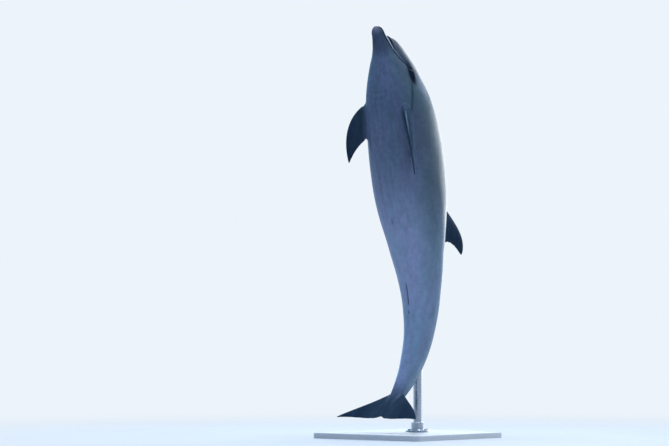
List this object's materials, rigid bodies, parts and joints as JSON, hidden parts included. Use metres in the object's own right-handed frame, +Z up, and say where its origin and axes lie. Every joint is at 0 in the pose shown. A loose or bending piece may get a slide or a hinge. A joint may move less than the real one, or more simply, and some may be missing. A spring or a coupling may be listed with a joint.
{
  "type": "bottlenose dolphin model",
  "caption": "Life-size bottlenose dolphin rising upright with its tail curled forward, flippers swept back, on a plain square display stand with one rod.",
  "frame": {"origin": "middle of the underside of the stand's base", "axes": "+Z up along the animal's length, +Y towards the animal's back, +X to the animal's left"},
  "size_m": [0.86, 0.9851, 2.5901],
  "materials": {
    "upper_jaw": "smooth wet skin, satin",
    "melon": "smooth wet skin, satin",
    "head": "smooth wet skin, satin",
    "neck": "smooth wet skin, satin",
    "trunk_front": "smooth wet skin, satin",
    "trunk_middle": "smooth wet skin, satin",
    "trunk_rear": "smooth wet skin, satin",
    "tail_stock_front": "smooth wet skin, satin",
    "tail_stock_rear": "smooth wet skin, satin",
    "lower_jaw": "smooth wet skin, satin",
    "dorsal_fin": "smooth wet skin, satin",
    "flipper_left": "smooth wet skin, satin",
    "flipper_right": "smooth wet skin, satin",
    "fluke_left": "smooth wet skin, satin",
    "fluke_right": "smooth wet skin, satin",
    "eye_left": "glossy, dark brown",
    "eye_right": "glossy, dark brown",
    "stand_base": "satin paint",
    "stand_rod": "satin",
    "stand_flange": "satin",
    "stand_bolt_1": "satin",
    "stand_bolt_2": "satin",
    "stand_bolt_3": "satin",
    "stand_bolt_4": "satin",
    "stand_bolt_5": "satin",
    "stand_bolt_6": "satin"
  },
  "bodies": {
    "root": {"upper_jaw": "upper_jaw", "melon": "melon", "head": "head", "neck": "neck", "trunk_front": "trunk_front", "trunk_middle": "trunk_middle", "trunk_rear": "trunk_rear", "tail_stock_front": "tail_stock_front", "tail_stock_rear": "tail_stock_rear", "lower_jaw": "lower_jaw", "dorsal_fin": "dorsal_fin", "flipper_left": "flipper_left", "flipper_right": "flipper_right", "fluke_left": "fluke_left", "fluke_right": "fluke_right", "eye_left": "eye_left", "eye_right": "eye_right", "stand_base": "stand_base", "stand_rod": "stand_rod", "stand_flange": "stand_flange", "stand_bolt_1": "stand_bolt_1", "stand_bolt_2": "stand_bolt_2", "stand_bolt_3": "stand_bolt_3", "stand_bolt_4": "stand_bolt_4", "stand_bolt_5": "stand_bolt_5", "stand_bolt_6": "stand_bolt_6"}
  },
  "joints": []
}
